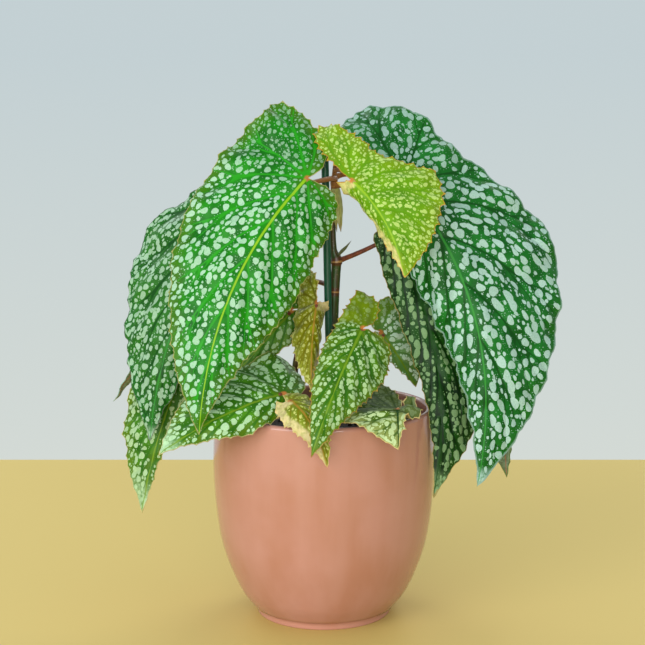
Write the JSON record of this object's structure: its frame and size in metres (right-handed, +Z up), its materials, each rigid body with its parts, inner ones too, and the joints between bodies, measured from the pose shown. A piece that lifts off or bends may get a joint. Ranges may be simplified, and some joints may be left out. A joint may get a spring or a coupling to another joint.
{
  "type": "potted begonia",
  "caption": "Potted angel-wing begonia: drooping, toothed, light-spotted leaves on a jointed cane beside a green stake, in a round glazed pot.",
  "frame": {"origin": "centre of the pot's flat underside", "axes": "+Z up, -Y towards the side that the picture shows, +X to the right of that side"},
  "size_m": [0.2852, 0.1698, 0.3234],
  "materials": {
    "pot_glaze": "gloss",
    "potting_soil": "matte",
    "stake_plastic": "satin",
    "stem": "satin",
    "leaf": "satin",
    "young_leaf": "satin",
    "bract": "matte"
  },
  "bodies": {
    "root": {"pot": "pot_glaze", "soil": "potting_soil", "stake": "stake_plastic", "cane": "stem", "shoot_left": "stem", "shoot_front": "stem", "shoot_right": "stem", "leaf_front_left": "leaf", "leaf_left": "leaf", "leaf_low_left": "leaf", "leaf_front_low_left": "leaf", "leaf_behind_front_left": "leaf", "leaf_back_low_right": "leaf", "leaf_low_right": "leaf", "leaf_top_right": "leaf", "leaf_right": "leaf", "leaf_back_left": "leaf", "leaf_back_right": "leaf", "leaf_young_upright": "young_leaf", "leaf_young_front": "young_leaf", "leaf_young_low_front": "young_leaf", "leaf_young_top": "young_leaf", "stipule_upper": "bract", "stipule_upper_slim": "bract", "stipule_lower": "bract"}
  },
  "joints": []
}
